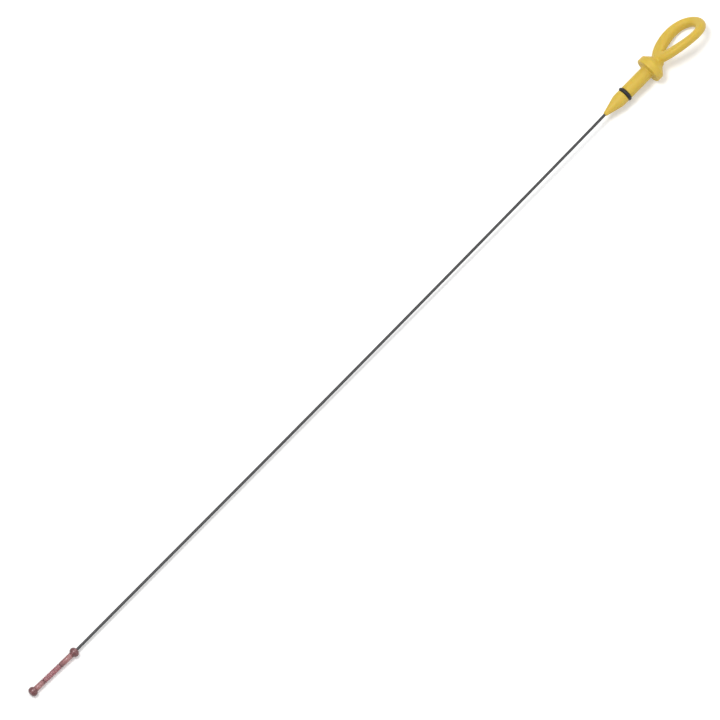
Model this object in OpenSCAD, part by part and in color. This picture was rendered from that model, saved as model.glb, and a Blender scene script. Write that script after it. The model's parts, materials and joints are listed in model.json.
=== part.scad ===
// Engine oil dipstick, lying on a flat surface as it comes to rest.
// A yellow moulded handle has a finger loop, a collar that seats on the dipstick tube,
// a round plug with one sealing ring, and a cone that leads the plug into the tube.
// A thin steel wire runs from the cone to a moulded level gauge with its two marks.
// The stick's own axis runs along +X towards the loop. The origin is on that axis,
// in the plane of the collar's face that seats on the tube.

/* [Plug and collar] */
// Length of the plug, from the collar's seat to the cone's tip
plug_len = 46.2; // [42:0.1:60]
// Diameter of the plug
plug_d = 10.6; // [9:0.1:12]
// Length of the cone that leads the plug in
cone_len = 14.4; // [9:0.1:16]
// Diameter of the cone's tip
cone_tip_d = 3; // [2.8:0.1:4]
// Radius of the soft shoulder between cone and plug
shoulder_r = 4; // [1:0.5:8]
// Diameter of the collar
collar_d = 21.4; // [18:0.1:26]
// Width of the collar's straight rim
rim_w = 5.4; // [3.5:0.1:7]
// Radius on the rim's seat edge
seat_edge_r = 0.7; // [0.2:0.1:1]
// Radius on the rim's back edge
back_edge_r = 1.4; // [0.4:0.1:2]
// Length of the taper between rim and neck
taper_len = 4.9; // [3:0.1:7]
// Diameter of the neck behind the collar
neck_d = 10.6; // [9:0.1:12]
// Straight length of the neck
neck_len = 2.6; // [2:0.1:5]
// Radius of the hollow between taper and neck
neck_hollow_r = 2; // [0.5:0.1:3]
// Radius on the neck's far edge
neck_edge_r = 1; // [0.3:0.1:1.8]

/* [Sealing ring] */
// Outer diameter of the sealing ring
ring_d = 12.2; // [11.2:0.1:14]
// Thickness of the sealing ring
ring_t = 2.8; // [2:0.1:3]
// Distance from the collar's seat to the middle of the ring
ring_from_seat = 24.2; // [16:0.1:26]
// Clearance on each side of the ring in its groove
ring_gap = 0.2; // [0.1:0.05:0.4]

/* [Finger loop] */
// Distance from the collar's seat to the far end of the loop
loop_reach = 57.5; // [52:0.1:64]
// Width over the loop
loop_w = 30.9; // [26:0.1:34]
// Width of each limb where the loop is widest
limb_w = 6.8; // [5:0.1:8.5]
// Thickness of the limbs, across the loop
limb_t = 7.1; // [5:0.1:8.5]
// Height of the limbs' outer side over their inner side, as the loop is dished
limb_dish = 1.4; // [0:0.1:3]
// Width of the loop's far end
end_w = 8.3; // [6:0.1:10]
// Distance from the collar's seat to the near end of the opening
opening_from_seat = 19.3; // [16:0.1:24]
// Radius of the arch that the loop follows, seen from its side
arch_r = 116; // [66:1:250]
// Distance from the collar's seat to the top of the arch
arch_from_seat = 24.5; // [18:0.5:30]
// Height of the top of the arch over the stick's axis
arch_rise = 1.9; // [0:0.1:3]

/* [Wire] */
// Diameter of the wire
wire_d = 2.2; // [1.5:0.1:2.4]
// Length of wire between cone and gauge
wire_len = 563.5; // [300:0.5:800]
// Length of wire inside the handle
wire_in_handle = 32; // [20:1:38]
// Length of wire inside the gauge, past the middle of its first knob
wire_in_gauge = 4; // [2.5:0.1:6]
// Diameter of the bead that locks the wire in its mouldings
bead_d = 3.2; // [2.6:0.1:3.6]
// Width of that bead
bead_w = 1.6; // [1:0.1:2]
// Distance from the wire's end to the bead in the handle
bead_from_end = 3; // [2:0.1:5]

/* [Level gauge] */
// Distance between the middles of the gauge's two knobs
gauge_len = 42.2; // [38:0.1:60]
// Diameter of the gauge's bar
bar_d = 4.4; // [3.8:0.1:5.5]
// Diameter of the knobs
knob_d = 7.6; // [6.5:0.1:9]
// Width of the knobs
knob_w = 6; // [5:0.1:6.4]
// Distance from the first knob's middle to the full mark
full_mark = 14.5; // [10:0.1:18]
// Distance between the full mark and the low mark
mark_span = 16.6; // [10:0.1:20]
// Width of the marks
mark_w = 0.9; // [0.5:0.1:1.5]
// Depth of the marks and of the grooves between them
mark_deep = 0.4; // [0.2:0.05:0.6]
// Pitch of the grooves that hold the oil between the marks
groove_pitch = 1.5; // [1.2:0.1:3]
// Width of those grooves
groove_w = 0.6; // [0.3:0.05:0.8]
// Number of grooves along the bar that cross the others
long_grooves = 10; // [6:1:12]

/* [Hidden] */
$fn = 64;

yellow = [0.87, 0.70, 0.22];
black = [0.07, 0.07, 0.08];
steel = [0.25, 0.26, 0.28];
maroon = [0.50, 0.22, 0.25];

// Radii, and places along the stick
plug_r = plug_d / 2;
collar_r = collar_d / 2;
neck_r = neck_d / 2;
tip_x = -plug_len;
shoulder_x = tip_x + cone_len;
taper_x = rim_w + taper_len;
neck_x = taper_x + neck_len;
ring_x = -ring_from_seat;
tip_edge_r = 0.25;
overrun = 1;

// The loop's outlines: how much wider each is towards the far end
loop_pear_share = 0.17;
opening_pear_share = 0.5;
// How full each outline is at its ends, where an oval is 1 and less is blunter
loop_end_share = 1;
opening_end_share = 0.88;
// How full the limb's rounded section is, between a circle at 1 and a square at 0
section_share = 0.8;
// How deep the loop's root runs into the neck, as a share of the neck's radius
root_depth_share = 0.85;
loop_root_x = neck_x - neck_r * root_depth_share;
opening_end_x = loop_reach - end_w;
opening_w = loop_w - limb_w - limb_w;
around_loop = 88;
around_limb = 28;
corner_steps = 6;

// The wire's ends, and the gauge's first knob
wire_end_x = tip_x + wire_in_handle;
knob_x = tip_x - wire_len - knob_w / 2;
wire_tip_x = knob_x - wire_in_gauge;

// The stick rests on its collar, on the gauge's far knob and on one limb of the loop
rest_span = seat_edge_r - knob_x + gauge_len;
slope = atan((collar_r - knob_d / 2) / rest_span);
floor_z = seat_edge_r * tan(slope) - collar_r;
steepest_roll = 75;
roll_steps = 14;

// A share of an outline's half width, at an angle round it from the near end
function full_share(part, share) = sign(part) * pow(abs(part), share);
function pear_share(angle, pear, share) = full_share(sin(angle), share) * (1 - pear * cos(angle));
function widest_share(pear, share) = max([
    for (angle = [0 : 3 : 180]) pear_share(angle, pear, share)
]);
function outline(angle, near, far, width, pear, share) = [
    (near + far) / 2 - (far - near) / 2 * cos(angle),
    width / 2 * pear_share(angle, pear, share) / widest_share(pear, share)
];
function arch(x) = sqrt(pow(arch_r, 2) - pow(x - arch_from_seat, 2)) - arch_r + arch_rise;
function limb_point(round_loop, round_limb) = let (
    inner = outline(
        round_loop, opening_from_seat, opening_end_x, opening_w,
        opening_pear_share, opening_end_share
    ),
    outer = outline(
        round_loop, loop_root_x, loop_reach, loop_w, loop_pear_share, loop_end_share
    ),
    outward = full_share(cos(round_limb), section_share),
    p = inner + (outer - inner) * (1 + outward) / 2,
    rise = limb_t / 2 * full_share(sin(round_limb), section_share) + limb_dish / 2 * outward
) [p[0], p[1], arch(p[0]) + rise];
loop_points = [
    for (i = [0 : around_loop - 1], j = [0 : around_limb - 1])
        limb_point(i * 360 / around_loop, j * 360 / around_limb)
];

// The roll about the stick's axis at which a limb reaches the surface, found by halving
function lowest(angle) = min([
    for (p = loop_points) p[2] * cos(angle) - abs(p[1]) * sin(angle) + p[0] * tan(slope)
]);
function settled(low, high, steps) = steps == 0 ? low :
    let (middle = (low + high) / 2)
    lowest(middle) > floor_z ? settled(middle, high, steps - 1) : settled(low, middle, steps - 1);
roll = settled(0, steepest_roll, roll_steps);

// An outline with its corners rounded; each corner is [radius, along, corner radius]
function turned(v, angle) = [
    v[0] * cos(angle) - v[1] * sin(angle), v[0] * sin(angle) + v[1] * cos(angle)
];
function corner(before, here, after, r) = r == 0 ? [here] : let (
    u = (before - here) / norm(before - here),
    w = (after - here) / norm(after - here),
    half = acos(u * w) / 2,
    middle = here + (u + w) / norm(u + w) * r / sin(half),
    start = here + u * r / tan(half) - middle,
    way = u[0] * w[1] - u[1] * w[0] > 0 ? -1 : 1
) [for (i = [0 : corner_steps]) middle + turned(start, way * (180 - 2 * half) * i / corner_steps)];
function flat_point(p) = [p[0], p[1]];
function rounded(points) = let (n = len(points)) [
    for (i = [0 : n - 1])
        each corner(
            flat_point(points[(i + n - 1) % n]), flat_point(points[i]),
            flat_point(points[(i + 1) % n]), points[i][2]
        )
];

module laid() {
    rotate([0, -slope, 0]) children();
}

// Turns a shape drawn round the Z axis so that it lies along the stick
module along_stick() {
    rotate([0, 90, 0]) children();
}

module stick_cylinder(from, to, d) {
    translate([from, 0, 0]) along_stick() cylinder(h = to - from, d = d);
}

// The wire's own form, which is also the hollow it leaves in both mouldings
module wire_form() {
    stick_cylinder(wire_tip_x, wire_end_x, wire_d);
    for (middle = [wire_end_x - bead_from_end, knob_x])
        stick_cylinder(middle - bead_w / 2, middle + bead_w / 2, bead_d);
}

module plug_and_collar() {
    along_stick() rotate_extrude() polygon(rounded([
        [0, tip_x, 0],
        [cone_tip_d / 2, tip_x, tip_edge_r],
        [plug_r, shoulder_x, shoulder_r],
        [plug_r, 0, 0],
        [collar_r, 0, seat_edge_r],
        [collar_r, rim_w, back_edge_r],
        [neck_r, taper_x, neck_hollow_r],
        [neck_r, neck_x, neck_edge_r],
        [0, neck_x, 0]
    ]));
}

// One closed skin round the opening: an arched loop whose limbs run together at the neck
module finger_loop() {
    function at(i, j) = (i % around_loop) * around_limb + j % around_limb;
    polyhedron(
        points = loop_points,
        faces = [
            for (i = [0 : around_loop - 1], j = [0 : around_limb - 1])
                each [
                    [at(i, j), at(i + 1, j), at(i + 1, j + 1)],
                    [at(i, j), at(i + 1, j + 1), at(i, j + 1)]
                ]
        ]
    );
}

module ring_groove() {
    groove_r = ring_d / 2 - ring_t - ring_gap / 2;
    translate([ring_x, 0, 0]) along_stick() rotate_extrude()
        translate([groove_r, -ring_t / 2 - ring_gap])
            square([plug_r - groove_r + overrun, ring_t + ring_gap + ring_gap]);
}

module handle() {
    color(yellow) laid() difference() {
        union() {
            plug_and_collar();
            rotate([-roll, 0, 0]) finger_loop();
        }
        ring_groove();
        wire_form();
    }
}

module o_ring() {
    color(black) laid() translate([ring_x, 0, 0]) along_stick() rotate_extrude()
        translate([(ring_d - ring_t) / 2, 0]) circle(d = ring_t);
}

module wire() {
    color(steel) laid() wire_form();
}

// A knob is a disc with a full round rim
module knob() {
    rim_r = knob_w / 2;
    rotate_extrude() {
        intersection() {
            translate([knob_d / 2 - rim_r, 0]) circle(r = rim_r);
            translate([0, -rim_r]) square([knob_d / 2, knob_w]);
        }
        translate([0, -rim_r]) square([knob_d / 2 - rim_r, knob_w]);
    }
}

module gauge_bar() {
    bar_r = bar_d / 2;
    floor_r = bar_r - mark_deep;
    groove_count = floor((mark_span - mark_w - groove_w) / groove_pitch);
    first_groove = full_mark + (mark_span - (groove_count - 1) * groove_pitch) / 2;
    difference() {
        cylinder(h = gauge_len, r = bar_r);
        // The two marks, then the grooves between them
        rotate_extrude() {
            for (mark = [full_mark, full_mark + mark_span])
                translate([floor_r, mark - mark_w / 2]) square([mark_deep + overrun, mark_w]);
            for (i = [0 : groove_count - 1])
                translate([floor_r, first_groove + i * groove_pitch - groove_w / 2])
                    square([mark_deep + overrun, groove_w]);
        }
        for (i = [0 : long_grooves - 1])
            rotate([0, 0, i * 360 / long_grooves])
                translate([floor_r, -groove_w / 2, full_mark])
                    cube([mark_deep + overrun, groove_w, mark_span]);
    }
}

module level_gauge() {
    color(maroon) laid() difference() {
        translate([knob_x, 0, 0]) rotate([0, -90, 0]) {
            gauge_bar();
            knob();
            translate([0, 0, gauge_len]) knob();
        }
        wire_form();
    }
}

handle();
o_ring();
wire();
level_gauge();
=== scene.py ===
import json
from math import atan2, cos, hypot, pi, radians, sin, sqrt, tan

import bmesh
import bpy
from mathutils import Matrix, Vector


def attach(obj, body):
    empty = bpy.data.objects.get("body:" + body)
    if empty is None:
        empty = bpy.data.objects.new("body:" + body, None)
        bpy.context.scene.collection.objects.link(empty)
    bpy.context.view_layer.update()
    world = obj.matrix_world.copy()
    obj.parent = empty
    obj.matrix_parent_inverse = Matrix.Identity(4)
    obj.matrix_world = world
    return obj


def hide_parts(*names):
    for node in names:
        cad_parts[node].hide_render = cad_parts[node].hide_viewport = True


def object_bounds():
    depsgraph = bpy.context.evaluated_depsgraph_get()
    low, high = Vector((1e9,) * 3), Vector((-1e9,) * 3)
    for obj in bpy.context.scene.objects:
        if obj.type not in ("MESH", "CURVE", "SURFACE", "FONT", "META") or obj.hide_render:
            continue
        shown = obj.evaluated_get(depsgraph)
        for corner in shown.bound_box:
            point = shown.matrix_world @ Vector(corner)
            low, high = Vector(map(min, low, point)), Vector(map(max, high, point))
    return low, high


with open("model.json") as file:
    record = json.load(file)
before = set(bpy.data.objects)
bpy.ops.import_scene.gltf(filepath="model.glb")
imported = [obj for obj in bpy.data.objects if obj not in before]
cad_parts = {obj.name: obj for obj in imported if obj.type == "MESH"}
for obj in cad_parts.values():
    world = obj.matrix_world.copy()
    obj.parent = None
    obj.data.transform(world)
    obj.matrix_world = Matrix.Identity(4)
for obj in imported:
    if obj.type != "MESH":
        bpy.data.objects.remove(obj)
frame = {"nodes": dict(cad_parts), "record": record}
cad_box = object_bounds()

MM = 0.001

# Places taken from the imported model
seat_axis = Vector(frame["record"]["mounts"][0]["axis"])
slope = atan2(-seat_axis.z, -seat_axis.x)
laid = Matrix.Rotation(-slope, 4, "Y")
table_z = cad_box[0].z


def along_stick(node):
    """Where a node starts and ends along the stick's own axis."""
    places = [(laid.inverted() @ v.co).x for v in frame["nodes"][node].data.vertices]
    return min(places), max(places)


tip_x = along_stick("handle")[0]
ring_x = sum(along_stick("o_ring")) / 2
ring_t = along_stick("o_ring")[1] - along_stick("o_ring")[0]
wire_tip_x, wire_end_x = along_stick("wire")

# Handle sizes
plug_r = 5.3 * MM
cone_len = 14.4 * MM
cone_tip_r = 1.5 * MM
collar_r = 10.7 * MM
rim_w = 5.4 * MM
taper_len = 4.9 * MM
neck_r = 5.3 * MM
neck_len = 2.6 * MM
groove_r = 3.2 * MM
groove_w = ring_t + 0.4 * MM
ring_outer_r = 6.1 * MM
steps_round_ring = 112
steps_round_rubber = 32
loop_w = 30.9 * MM
limb_w = 6.8 * MM
limb_t = 7.1 * MM
limb_dish = 1.4 * MM
end_w = 8.3 * MM
opening_from_seat = 19.3 * MM
loop_root_x = 8.4 * MM
arch_r = 116 * MM
arch_from_seat = 24.5 * MM
arch_rise = 1.9 * MM
loop_reach = 57.5 * MM
loop_roll = radians(44.48)
loop_pear = 0.17
opening_pear = 0.5
opening_end_share = 0.88
section_share = 0.8
steps_round_handle = 128
steps_round_limb = 40
steps_round_loop = 176

# Roundings of the turned handle, and the grid and rounds that make it one skin with the loop
corner_segments = 8
tip_edge = 0.3 * MM
groove_edge = 0.2 * MM
seat_corner = 0.3 * MM
rim_edge = 0.7 * MM
hollow_edge = 1.0 * MM
neck_edge = 0.9 * MM
skin_grid = 0.3 * MM
even_rounds = 3
fillet_rounds = 24
fillet_from = rim_w + taper_len * 0.8
fillet_to = opening_from_seat + 6 * MM

# Wire and gauge sizes
wire_r = 1.1 * MM
wire_sag = 1.9 * MM
wire_bow = 0.75 * MM
sag_in_middle = 0.35
bow_lead = 0.66
steps_round_wire = 24
wire_cuts = 95
gauge_len = 42.2 * MM
bar_r = 2.2 * MM
knob_r = 3.8 * MM
knob_w = 6.0 * MM
knob_x = wire_tip_x + 4.0 * MM
steps_round_knob = 48
full_mark = 14.5 * MM
mark_span = 16.6 * MM
mark_w = 0.9 * MM
mark_deep = 0.4 * MM
groove_draft = 0.04 * MM
pad_pitch = 1.5 * MM
pad_gap = 0.6 * MM
pads_round = 10
strips_a_pad = 4
gauge_lean = radians(1.7)
# Width of the painted highlight along the top of the gauge
top_highlight_w = 1.2 * MM


# Mesh helpers

def finished(bm, name, place=laid):
    """Turns a bmesh into a smooth shaded object whose place is in its mesh."""
    bmesh.ops.transform(bm, matrix=place, verts=bm.verts)
    mesh = bpy.data.meshes.new(name)
    bm.to_mesh(mesh)
    bm.free()
    for face in mesh.polygons:
        face.use_smooth = True
    piece = bpy.data.objects.new(name, mesh)
    bpy.context.scene.collection.objects.link(piece)
    return piece


def profile(bm, corners):
    """An open chain of edges in the X Z plane; each corner is (along, radius, setback)."""
    dots = [bm.verts.new((x, 0, r)) for x, r, _ in corners]
    for a, b in zip(dots, dots[1:]):
        bm.edges.new((a, b))
    for dot, (_, _, setback) in zip(dots, corners):
        if setback:
            bmesh.ops.bevel(bm, geom=[dot], offset=setback, segments=corner_segments,
                            profile=0.5, affect="VERTICES", material=-1)
    return bm


def turned(bm, steps):
    """Spins the chain of edges once round the stick's axis."""
    bmesh.ops.spin(bm, geom=bm.verts[:] + bm.edges[:], cent=(0, 0, 0), axis=(1, 0, 0),
                   angle=2 * pi, steps=steps, use_merge=True)
    bmesh.ops.remove_doubles(bm, verts=bm.verts, dist=1e-7)
    bmesh.ops.recalc_face_normals(bm, faces=bm.faces)
    return bm


# Handle

def full(part, share):
    """A share of a half width, kept nearer its full size as the power gets smaller."""
    return (1 if part > 0 else -1) * abs(part) ** share


def pear(angle, blunt, ends):
    """How wide a pear shape is, at an angle round it from its pointed end."""
    return full(sin(angle), ends) * (1 - blunt * cos(angle))


def outline(angle, near, far, width, blunt, ends=1.0):
    """A point of a pear shaped outline, at an angle round it from its near end."""
    widest = max(pear(radians(a), blunt, ends) for a in range(0, 181, 3))
    return Vector((
        (near + far) / 2 - (far - near) / 2 * cos(angle),
        width / 2 * pear(angle, blunt, ends) / widest,
        0,
    ))


def loop_ring():
    """A torus, reshaped into the arched loop whose limbs run together at the neck."""
    bm = bmesh.new()
    big, small = 4.0, 1.0
    bmesh.ops.create_circle(bm, segments=steps_round_limb, radius=small,
                            matrix=Matrix.Translation((big, 0, 0)) @ Matrix.Rotation(pi / 2, 4, "X"))
    bmesh.ops.spin(bm, geom=bm.verts[:] + bm.edges[:], cent=(0, 0, 0), axis=(0, 0, 1),
                   angle=2 * pi, steps=steps_round_loop, use_merge=True)
    bmesh.ops.remove_doubles(bm, verts=bm.verts, dist=1e-5)
    for v in bm.verts:
        round_loop = atan2(v.co.y, -v.co.x)
        round_limb = atan2(v.co.z, hypot(v.co.x, v.co.y) - big)
        side = -1 if round_loop < 0 else 1
        inner = outline(abs(round_loop), opening_from_seat, loop_reach - end_w,
                        loop_w - 2 * limb_w, opening_pear, opening_end_share)
        outer = outline(abs(round_loop), loop_root_x, loop_reach, loop_w, loop_pear)
        outward = full(cos(round_limb), section_share)
        p = inner.lerp(outer, (1 + outward) / 2)
        rise = limb_t / 2 * full(sin(round_limb), section_share) + limb_dish / 2 * outward
        arch = sqrt(arch_r ** 2 - (p.x - arch_from_seat) ** 2) - arch_r + arch_rise
        v.co = (p.x, side * p.y, arch + rise)
    bmesh.ops.recalc_face_normals(bm, faces=bm.faces)
    bmesh.ops.rotate(bm, cent=(0, 0, 0), matrix=Matrix.Rotation(-loop_roll, 3, "X"), verts=bm.verts)
    return bm


def turned_handle():
    """The plug, its cone and groove, the collar and the neck."""
    cone_rise = (plug_r - cone_tip_r) / cone_len
    shoulder_edge = 0.6 * MM + 1.5 * MM * cone_rise
    taper_x = rim_w + taper_len
    neck_x = rim_w + taper_len + neck_len
    bm = profile(bmesh.new(), [
        (tip_x, 0, 0),
        (tip_x, cone_tip_r, tip_edge),
        (tip_x + cone_len, plug_r, shoulder_edge),
        (ring_x - groove_w / 2, plug_r, groove_edge),
        (ring_x - groove_w / 2, groove_r, 0),
        (ring_x + groove_w / 2, groove_r, 0),
        (ring_x + groove_w / 2, plug_r, groove_edge),
        (0, plug_r, seat_corner),
        (0, collar_r, rim_edge),
        (rim_w, collar_r, rim_edge),
        (taper_x, neck_r, hollow_edge),
        (neck_x, neck_r, neck_edge),
        (neck_x, 0, 0),
    ])
    return turned(bm, steps_round_handle)


def evened(bm, verts, rounds):
    """Smooths some vertices a number of times."""
    for _ in range(rounds):
        bmesh.ops.smooth_vert(bm, verts=verts, factor=0.5,
                              use_axis_x=True, use_axis_y=True, use_axis_z=True)


skin = turned_handle()
ring_mesh = bpy.data.meshes.new("loop")
loop = loop_ring()
loop.to_mesh(ring_mesh)
loop.free()
skin.from_mesh(ring_mesh)
rough = finished(skin, "handle_rough", Matrix.Identity(4))
remesh = rough.modifiers.new("one skin", "REMESH")
remesh.mode = "VOXEL"
remesh.voxel_size = skin_grid
one_skin = bpy.data.meshes.new_from_object(rough.evaluated_get(bpy.context.evaluated_depsgraph_get()))
bpy.data.objects.remove(rough)

skin = bmesh.new()
skin.from_mesh(one_skin)
evened(skin, skin.verts[:], even_rounds)
evened(skin, [v for v in skin.verts if fillet_from < v.co.x < fillet_to], fillet_rounds)
handle = finished(skin, "moulded_handle")
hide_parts("handle")
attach(handle, "root")

# Sealing ring

ring = bmesh.new()
bmesh.ops.create_circle(
    ring, segments=steps_round_rubber, radius=ring_t / 2,
    matrix=Matrix.Translation((ring_x, 0, ring_outer_r - ring_t / 2)) @ Matrix.Rotation(pi / 2, 4, "X"))
sealing_ring = finished(turned(ring, steps_round_ring), "sealing_ring")
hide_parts("o_ring")
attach(sealing_ring, "root")

# Wire, which sags and bows a little between its two mouldings

wire_mesh = bmesh.new()
bmesh.ops.create_cone(
    wire_mesh, cap_ends=True, segments=steps_round_wire, radius1=wire_r, radius2=wire_r,
    depth=wire_end_x - wire_tip_x,
    matrix=Matrix.Translation(((wire_end_x + wire_tip_x) / 2, 0, 0)) @ Matrix.Rotation(pi / 2, 4, "Y"))
long_edges = [e for e in wire_mesh.edges if e.calc_length() > 2 * wire_r]
bmesh.ops.subdivide_edges(wire_mesh, edges=long_edges, cuts=wire_cuts, use_grid_fill=False)
free_from, free_to = knob_x + knob_w / 2, tip_x
for v in wire_mesh.verts:
    share = min(1, max(0, (v.co.x - free_from) / (free_to - free_from)))
    v.co.z -= wire_sag * (sin(pi * share) ** 2 * sag_in_middle + sin(pi * share) * (1 - sag_in_middle))
    v.co.y -= wire_bow * sin(pi * (1 - share) ** bow_lead)
wire = finished(wire_mesh, "steel_wire")
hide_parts("wire")
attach(wire, "root")

# Level gauge, made along +X from its first knob and then turned round

gauge = bmesh.new()
bmesh.ops.create_cone(
    gauge, cap_ends=True, segments=pads_round * strips_a_pad, radius1=bar_r, radius2=bar_r,
    depth=gauge_len,
    matrix=Matrix.Translation((gauge_len / 2, 0, 0)) @ Matrix.Rotation(pi / 2, 4, "Y"))
first, last = full_mark - mark_w / 2, full_mark + mark_span + mark_w / 2
cuts = [first, first + mark_w, last - mark_w, last]
rows = int((mark_span - mark_w - pad_gap) / pad_pitch)
first_groove = full_mark + (mark_span - (rows - 1) * pad_pitch) / 2
for i in range(rows):
    middle = first_groove + i * pad_pitch
    cuts += [middle - pad_gap / 2, middle + pad_gap / 2]
cuts.sort()
for cut in cuts:
    bmesh.ops.bisect_plane(gauge, geom=gauge.verts[:] + gauge.edges[:] + gauge.faces[:],
                           plane_co=(cut, 0, 0), plane_no=(1, 0, 0), dist=1e-7)


def is_groove(face):
    """Faces that stand in a mark, in a groove round the bar or in one along it."""
    middle = face.calc_center_median()
    if abs(face.normal.x) > 0.5 or not first < middle.x < last:
        return False
    strip = int((atan2(middle.z, middle.y) % (2 * pi)) / (2 * pi) * pads_round * strips_a_pad)
    row = next(i for i, cut in enumerate(cuts) if middle.x < cut)
    return row % 2 == 1 or strip % strips_a_pad == 0


sunk = [f for f in gauge.faces if is_groove(f)]
bmesh.ops.inset_region(gauge, faces=sunk, thickness=groove_draft, depth=-mark_deep, use_even_offset=True)
for middle in (0, gauge_len):
    bmesh.ops.create_uvsphere(
        gauge, u_segments=steps_round_knob, v_segments=steps_round_knob // 2, radius=knob_w / 2,
        matrix=Matrix.Translation((middle, 0, 0)) @ Matrix.Rotation(pi / 2, 4, "Y"))
for v in gauge.verts:
    reach = hypot(v.co.y, v.co.z)
    in_a_knob = min(abs(v.co.x), abs(v.co.x - gauge_len)) < knob_w / 2
    if in_a_knob and reach > 1e-6 and abs(reach - bar_r) > 1e-5:
        swell = (knob_r - knob_w / 2) * min(1, reach / (knob_w / 4))
        v.co.y *= (reach + swell) / reach
        v.co.z *= (reach + swell) / reach
bmesh.ops.recalc_face_normals(gauge, faces=gauge.faces)
gauge_place = laid @ Matrix.Translation((knob_x, 0, 0)) @ Matrix.Rotation(pi - gauge_lean, 4, "Z")
level_gauge = finished(gauge, "marked_gauge", gauge_place)
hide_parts("level_gauge")
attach(level_gauge, "root")


# Shared surface effects

def group(name, inputs, outputs):
    """An empty shared effect, with the names of its number sockets; Vector is a vector."""
    tree = bpy.data.node_groups.new(name, "ShaderNodeTree")
    for side, sockets in (("INPUT", inputs), ("OUTPUT", outputs)):
        for socket in sockets:
            kind = "NodeSocketVector" if socket == "Vector" else "NodeSocketFloat"
            tree.interface.new_socket(name=socket, in_out=side, socket_type=kind)
    return tree, tree.nodes.new("NodeGroupInput"), tree.nodes.new("NodeGroupOutput")


def moulded_grain():
    """Fine grain and slow unevenness of a moulded surface, as a height and a mottle value."""
    tree, into, out = group("moulded_grain", ["Vector", "Grain", "Mottle"], ["Height", "Mottle"])
    fine = tree.nodes.new("ShaderNodeTexNoise")
    fine.inputs["Detail"].default_value = 3
    slow = tree.nodes.new("ShaderNodeTexNoise")
    slow.inputs["Detail"].default_value = 2
    link = tree.links.new
    link(into.outputs["Vector"], fine.inputs["Vector"])
    link(into.outputs["Grain"], fine.inputs["Scale"])
    link(into.outputs["Vector"], slow.inputs["Vector"])
    link(into.outputs["Mottle"], slow.inputs["Scale"])
    link(fine.outputs["Fac"], out.inputs["Height"])
    link(slow.outputs["Fac"], out.inputs["Mottle"])
    return tree


def fine_line():
    """A thin line where one coordinate is zero: a mould seam and flash, and on the gauge the painted
    shade in the marks and a painted highlight along the top.
    """
    tree, into, out = group("fine_line", ["Distance", "Width"], ["Line"])
    size = tree.nodes.new("ShaderNodeMath")
    size.operation = "ABSOLUTE"
    share = tree.nodes.new("ShaderNodeMath")
    share.operation = "DIVIDE"
    ramp = tree.nodes.new("ShaderNodeMath")
    ramp.operation = "SUBTRACT"
    ramp.inputs[0].default_value = 1
    ramp.use_clamp = True
    link = tree.links.new
    link(into.outputs["Distance"], size.inputs[0])
    link(size.outputs[0], share.inputs[0])
    link(into.outputs["Width"], share.inputs[1])
    link(share.outputs[0], ramp.inputs[1])
    link(ramp.outputs[0], out.inputs["Line"])
    return tree


grain_group = moulded_grain()
line_group = fine_line()


class Finish:
    """A material under way: its nodes, with short ways to add and join them."""

    def __init__(self, name):
        self.material = bpy.data.materials.new(name)
        self.material.use_nodes = True
        self.nodes = self.material.node_tree.nodes
        self.shader = self.nodes["Principled BSDF"]
        self.place = self.nodes.new("ShaderNodeTexCoord").outputs["Object"]

    def feed(self, socket, value):
        """Sets a socket to a value, or joins it to the output that is given."""
        if isinstance(value, bpy.types.NodeSocket):
            self.material.node_tree.links.new(value, socket)
        else:
            socket.default_value = value

    def surface(self, values):
        """Feeds the named sockets of the surface itself."""
        for key, value in values.items():
            self.feed(self.shader.inputs[key], value)

    def add(self, kind, values, **settings):
        """Adds a node with its settings, feeds it, and gives its outputs."""
        node = self.nodes.new(kind)
        for key, value in settings.items():
            setattr(node, key, value)
        for key, value in values.items():
            self.feed(node.inputs[key], value)
        return node.outputs

    def shared(self, tree, values):
        return self.add("ShaderNodeGroup", values, node_tree=tree)

    def maths(self, operation, first, second=0):
        return self.add("ShaderNodeMath", {0: first, 1: second}, operation=operation)[0]

    def apart(self, vector):
        return self.add("ShaderNodeSeparateXYZ", {0: vector})

    def spread(self, value, low, high, start=0, end=1):
        """Carries what goes from start to end over to a value from low to high."""
        return self.add("ShaderNodeMapRange", {
            "Value": value, "From Min": start, "From Max": end, "To Min": low, "To Max": high})["Result"]

    def blend(self, share, low, high):
        """One colour where the share is none and the other where it is full."""
        node = self.nodes.new("ShaderNodeMix")
        node.data_type = "RGBA"
        for key, value in (("Factor", share), ("A", low), ("B", high)):
            self.feed(node.inputs[key], value)
        return node.outputs["Result"]

    def bump(self, height, strength, deep, under=None):
        """A relief of some depth, on top of the one that lies under it."""
        values = {"Height": height, "Strength": strength, "Distance": deep}
        if under is not None:
            values["Normal"] = under
        return self.add("ShaderNodeBump", values)[0]


def handle_finish():
    """Satin yellow moulding with a faint mould seam all round the loop and the stick."""
    dull, bright, pale = (0.570, 0.388, 0.034, 1), (0.680, 0.478, 0.058, 1), (0.74, 0.57, 0.13, 1)
    f = Finish("yellow_moulding")
    along = f.add("ShaderNodeMapping", {"Vector": f.place, "Rotation": (0, slope, 0)})[0]
    rolled = f.add("ShaderNodeMapping", {"Vector": along, "Rotation": (loop_roll, 0, 0)})[0]
    grain = f.shared(grain_group, {"Vector": f.place, "Grain": 2600, "Mottle": 70})
    line = f.shared(line_group, {"Distance": f.apart(rolled)["Z"], "Width": 0.22 * MM})["Line"]
    tone = f.blend(f.spread(grain["Mottle"], 0, 1), dull, bright)
    fine = f.bump(grain["Height"], strength=0.22, deep=0.05 * MM)
    f.surface({
        "Base Color": f.blend(f.spread(line, 0, 0.35), tone, pale),
        "Roughness": f.spread(grain["Height"], 0.46, 0.62),
        "Normal": f.bump(line, strength=0.5, deep=0.10 * MM, under=fine),
        "IOR": 1.5,
        "Subsurface Weight": 0.35,
        "Subsurface Radius": (1.0, 0.6, 0.12),
        "Subsurface Scale": 3 * MM,
    })
    return f.material


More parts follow.
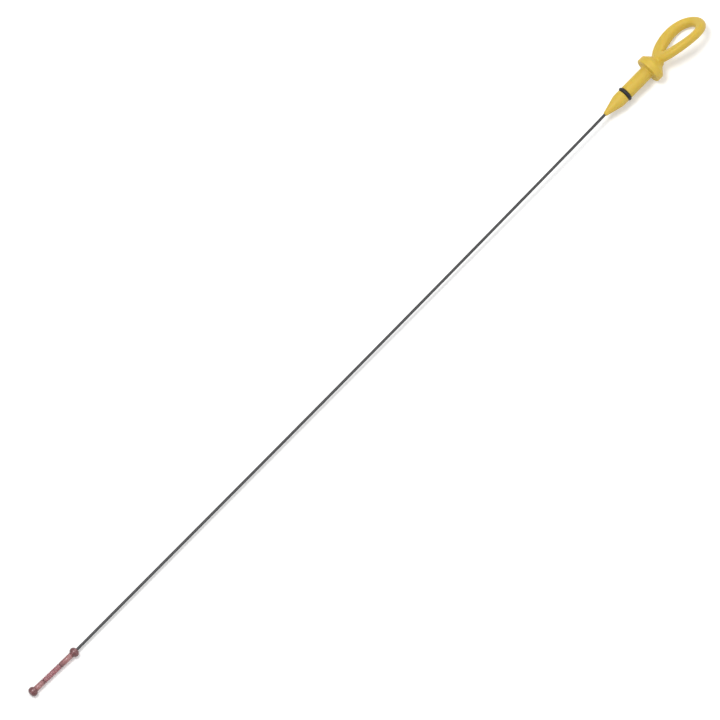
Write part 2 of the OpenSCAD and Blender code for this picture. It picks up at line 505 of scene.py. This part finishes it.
def ring_finish():
    """Black rubber with a thin line of flash round its outside."""
    black, greyed = (0.006, 0.006, 0.008, 1), (0.018, 0.017, 0.022, 1)
    f = Finish("black_rubber")
    grain = f.shared(grain_group, {"Vector": f.place, "Grain": 3000, "Mottle": 300})
    from_middle = f.maths("ADD", f.apart(f.place)["X"], -ring_x)
    line = f.shared(line_group, {"Distance": from_middle, "Width": 0.12 * MM})["Line"]
    fine = f.bump(grain["Height"], strength=0.15, deep=0.04 * MM)
    f.surface({
        "Base Color": f.blend(f.spread(grain["Mottle"], 0, 1), black, greyed),
        "Roughness": f.spread(grain["Height"], 0.42, 0.6),
        "Normal": f.bump(line, strength=0.4, deep=0.08 * MM, under=fine),
        "Specular IOR Level": 0.3,
    })
    return f.material


def wire_finish():
    """Dark steel with the long lines that drawing leaves, and faint stains."""
    dark, light, stain = (0.040, 0.041, 0.043, 1), (0.076, 0.076, 0.078, 1), (0.048, 0.046, 0.044, 1)
    f = Finish("dark_drawn_steel")
    drawn = f.add("ShaderNodeMapping", {"Vector": f.place, "Scale": (12, 1800, 1800)})[0]
    lines = f.add("ShaderNodeTexNoise", {"Vector": drawn, "Scale": 1, "Detail": 3})["Fac"]
    stains = f.add("ShaderNodeTexNoise", {"Vector": f.place, "Scale": 60, "Detail": 4})["Fac"]
    tone = f.blend(f.spread(lines, 0, 1), dark, light)
    f.surface({
        "Base Color": f.blend(f.spread(stains, 0, 0.35), tone, stain),
        "Metallic": 0.9,
        "Roughness": f.spread(lines, 0.34, 0.5),
        "Normal": f.bump(lines, strength=0.2, deep=0.03 * MM),
    })
    return f.material


def gauge_finish():
    """Slightly clear maroon, pinker between the marks and darker in the knobs, with painted shade in the
    marks and grooves and a painted highlight along the top.
    """
    dull, dusty = (0.34, 0.140, 0.140, 1), (0.47, 0.22, 0.215, 1)
    deep_pink, pink = (0.44, 0.140, 0.168, 1), (0.58, 0.230, 0.262, 1)
    # The darker colours for the marks and grooves are painted shade in their notches, and the pale one is
    # a painted highlight along the top
    dark_knob, painted_mark_shade = (0.17, 0.040, 0.044, 1), (0.15, 0.032, 0.042, 1)
    painted_groove_shade, pale = (0.11, 0.018, 0.025, 1), (0.66, 0.33, 0.35, 1)
    f = Finish("clear_maroon_nylon")
    grain = f.shared(grain_group, {"Vector": f.place, "Grain": 1500, "Mottle": 160})
    mottle = f.spread(grain["Mottle"], 0, 1)

    # Places on the gauge itself, whose X runs from the knob that the wire enters
    from_knob, turn, _ = gauge_place.inverted().decompose()
    local = f.apart(f.add("ShaderNodeMapping", {
        "Vector": f.place, "Location": from_knob, "Rotation": turn.to_euler()})[0])
    across = f.add("ShaderNodeCombineXYZ", {"Y": local["Y"], "Z": local["Z"]})[0]
    from_axis = f.add("ShaderNodeVectorMath", {0: across}, operation="LENGTH")["Value"]
    from_middle = f.maths("ABSOLUTE", f.maths("SUBTRACT", local["X"], gauge_len / 2))
    from_field = f.maths("ABSOLUTE", f.maths("SUBTRACT", local["X"], full_mark + mark_span / 2))
    from_mark = f.maths("SUBTRACT", from_field, mark_span / 2)
    in_knob = f.spread(from_middle, 0, 0.75, gauge_len / 2 - knob_w * 0.55, gauge_len / 2 - knob_w * 0.35)
    in_field = f.spread(from_field, 0, 1, mark_span / 2 + mark_w, mark_span / 2 - mark_w)
    # Painted shade: darker where the surface lies inside the bar's radius, in the sunk grooves and marks
    # and at the ends of the knobs
    groove_shade_share = f.spread(from_axis, 0, 0.25, bar_r - 0.05 * MM, bar_r - 0.35 * MM)
    # Painted shade in the notches of the two marks
    mark_shade_share = f.shared(line_group, {"Distance": from_mark, "Width": mark_w})["Line"]
    # Painted highlight: a pale band along the top of the bar and knobs
    painted_top_highlight = f.shared(line_group, {"Distance": local["Y"], "Width": top_highlight_w})["Line"]

    tone = f.blend(in_field, f.blend(mottle, dull, dusty), f.blend(mottle, deep_pink, pink))
    tone = f.blend(in_knob, tone, dark_knob)
    # Pale painted highlight along the top of the bar and knobs
    tone = f.blend(f.spread(painted_top_highlight, 0, 0.5), tone, pale)
    # Painted shade in the two marks
    tone = f.blend(mark_shade_share, tone, painted_mark_shade)
    f.surface({
        # Painted shade in the sunk grooves and marks
        "Base Color": f.blend(groove_shade_share, tone, painted_groove_shade),
        "Roughness": f.spread(grain["Height"], 0.2, 0.32),
        "Normal": f.bump(grain["Height"], strength=0.1, deep=0.04 * MM),
        "Transmission Weight": 0.4,
        "IOR": 1.53,
    })
    return f.material


for piece, finish in ((handle, handle_finish), (sealing_ring, ring_finish), (wire, wire_finish),
                      (level_gauge, gauge_finish)):
    piece.data.materials.clear()
    piece.data.materials.append(finish())

# Table

table_reach = 6
table_middle_x = -0.3
table_glow = 0.22

floor_mesh = bmesh.new()
bmesh.ops.create_grid(floor_mesh, x_segments=1, y_segments=1, size=table_reach,
                      matrix=Matrix.Translation((table_middle_x, 0, table_z)))
floor = finished(floor_mesh, "table_top", Matrix.Identity(4))


def seen_directly(nodes, link):
    """One for what the camera sees, straight, in a reflection or through clear plastic."""
    path = nodes.new("ShaderNodeLightPath")
    first = nodes.new("ShaderNodeMath")
    first.operation = "MAXIMUM"
    second = nodes.new("ShaderNodeMath")
    second.operation = "MAXIMUM"
    link(path.outputs["Is Camera Ray"], first.inputs[0])
    link(path.outputs["Is Glossy Ray"], first.inputs[1])
    link(first.outputs[0], second.inputs[0])
    link(path.outputs["Is Transmission Ray"], second.inputs[1])
    return second.outputs[0]


def white_surface():
    """A white painted top that keeps the shadows."""
    material = bpy.data.materials.new("white_table")
    material.use_nodes = True
    nodes, link = material.node_tree.nodes, material.node_tree.links.new
    nodes.remove(nodes["Principled BSDF"])
    paint = nodes.new("ShaderNodeBsdfDiffuse")
    paint.inputs["Color"].default_value = (0.93, 0.93, 0.93, 1)
    glow = nodes.new("ShaderNodeEmission")
    share = nodes.new("ShaderNodeMath")
    share.operation = "MULTIPLY"
    share.inputs[1].default_value = table_glow
    both = nodes.new("ShaderNodeAddShader")
    link(seen_directly(nodes, link), share.inputs[0])
    link(share.outputs[0], glow.inputs["Strength"])
    link(paint.outputs[0], both.inputs[0])
    link(glow.outputs[0], both.inputs[1])
    link(both.outputs[0], nodes["Material Output"].inputs["Surface"])
    return material


floor.data.materials.append(white_surface())

# Camera, at the photograph's angle

picture = 720
mm_per_pixel = 0.74
nose_pixel = (604.75, 114.76)
heading = radians(46.387)
elevation = radians(74)
half_view = radians(1.25)

right = Vector((cos(heading), -sin(heading), 0))
ahead = Vector((sin(heading), cos(heading), 0))
back = -ahead * cos(elevation) + Vector((0, 0, 1)) * sin(elevation)
up = back.cross(right)
nose = laid @ Vector((tip_x, 0, 0))
off_right = (picture / 2 - nose_pixel[0]) * mm_per_pixel * MM
off_up = (nose_pixel[1] - picture / 2) * mm_per_pixel * MM
target = nose + right * off_right + up * off_up
away = picture / 2 * mm_per_pixel * MM / tan(half_view)

lens = bpy.data.cameras.new("camera")
lens.lens = lens.sensor_width / 2 / tan(half_view)
lens.clip_start, lens.clip_end = 0.1, 100
camera = bpy.data.objects.new("camera", lens)
bpy.context.scene.collection.objects.link(camera)
camera.matrix_world = Matrix.Translation(target + back * away) @ Matrix(
    (right, up, back)).transposed().to_4x4()
bpy.context.scene.camera = camera

# Light

air_light = 0.34


def lamp(name, direction, distance, size, power):
    """A round soft light that shines on the middle of the picture."""
    data = bpy.data.lights.new(name, "AREA")
    data.shape = "DISK"
    data.size = size
    data.energy = power
    made = bpy.data.objects.new(name, data)
    made.location = target + direction.normalized() * distance
    made.rotation_mode = "QUATERNION"
    made.rotation_quaternion = direction.to_track_quat("Z", "Y")
    bpy.context.scene.collection.objects.link(made)


up_axis = Vector((0, 0, 1))
lamp("key", -right * 0.28 + ahead * 0.08 + up_axis * 0.96, distance=4.0, size=1.6, power=92)
lamp("softbox", ahead * 0.8 + right * 0.5 + up_axis, distance=3.0, size=2.2, power=22)
lamp("fill", right * 0.9 - ahead * 0.5 + up_axis * 0.9, distance=3.0, size=2.2, power=16)

world = bpy.data.worlds.new("studio")
bpy.context.scene.world = world
world.use_nodes = True
air = world.node_tree
seen = seen_directly(air.nodes, air.links.new)
level = air.nodes.new("ShaderNodeMapRange")
level.inputs["To Min"].default_value = air_light
level.inputs["To Max"].default_value = 1
air.nodes["Background"].inputs["Color"].default_value = (1, 1, 1, 1)
air.links.new(seen, level.inputs["Value"])
air.links.new(level.outputs[0], air.nodes["Background"].inputs["Strength"])

bpy.context.scene.view_settings.view_transform = "Standard"
